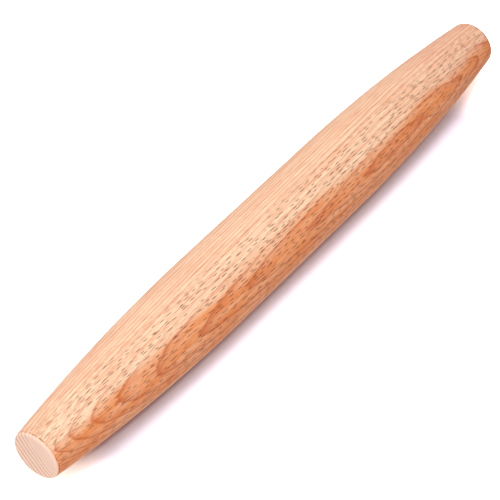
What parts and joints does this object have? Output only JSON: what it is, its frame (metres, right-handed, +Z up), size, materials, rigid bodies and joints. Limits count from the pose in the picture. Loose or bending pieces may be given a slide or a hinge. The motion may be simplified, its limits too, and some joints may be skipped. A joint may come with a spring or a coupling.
{
  "type": "french rolling pin",
  "caption": "Handleless rolling pin in pale beech: a solid turned cylinder with a long curved taper to each flat, eased end, for rolling dough under the palms.",
  "frame": {"origin": "middle of the pin, on its axis, halfway between the two end faces", "axes": "+X along the pin's axis, +Z up, +Y level and square to the axis; the pin lies on the line Z = -0.023 m"},
  "size_m": [0.4, 0.046, 0.046],
  "materials": {
    "beech": "satin"
  },
  "bodies": {
    "root": {"rolling_pin": "beech"}
  },
  "joints": []
}
